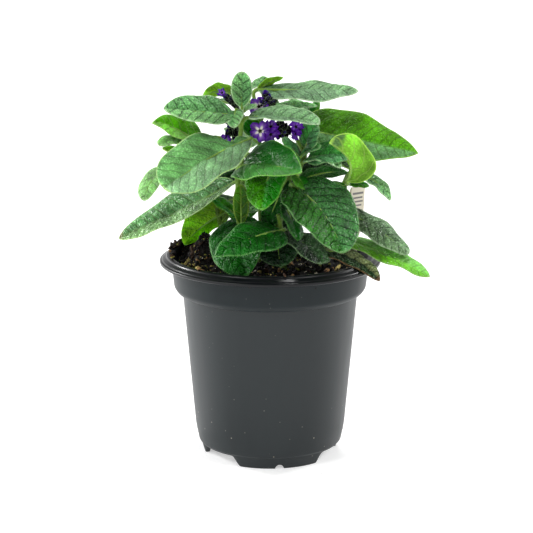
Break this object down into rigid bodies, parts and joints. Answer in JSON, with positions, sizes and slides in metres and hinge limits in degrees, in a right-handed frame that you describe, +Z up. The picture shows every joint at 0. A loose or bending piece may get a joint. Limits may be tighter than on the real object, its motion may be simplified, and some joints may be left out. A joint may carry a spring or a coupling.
{
  "type": "potted flowering plant",
  "caption": "Young heliotrope with wrinkled oval leaves and small violet flower clusters, growing in a round tapered nursery pot with a sloping lip, with a blank plant label in the soil.",
  "frame": {"origin": "on the axis of the pot, in the plane that its feet stand on", "axes": "+Z up, along the pot's axis; -Y towards the front, where the largest leaves hang over the lip"},
  "size_m": [0.1601, 0.1148, 0.2025],
  "materials": {
    "pot_plastic": "moulded black-grey plastic, satin wall and glossy lip",
    "potting_mix": "loose dark peat and bark mix",
    "label_plastic": "thin cream plastic plate with plain dark bars",
    "foliage": "matt wrinkled leaves with fine hairs, pale green stems",
    "calyces": "dark purple hairy calyces and buds",
    "petals": "soft violet petals"
  },
  "bodies": {
    "root": {"pot": "pot_plastic", "potting_soil": "potting_mix", "plant_label": "label_plastic", "leafy_stem_front": "foliage", "leafy_stem_top": "foliage", "leafy_stem_right": "foliage", "leafy_stem_low": "foliage", "leafy_stem_side": "foliage", "leafy_stem_left": "foliage", "leafy_stem_back_left": "foliage", "leafy_stem_back_right": "foliage", "flower_head_top": "calyces", "flower_head_centre": "calyces", "flower_head_left": "calyces", "flower_head_low_left": "calyces", "petals_top": "petals", "petals_centre": "petals", "petals_right": "petals", "petals_left": "petals", "petals_low_left": "petals"}
  },
  "joints": []
}
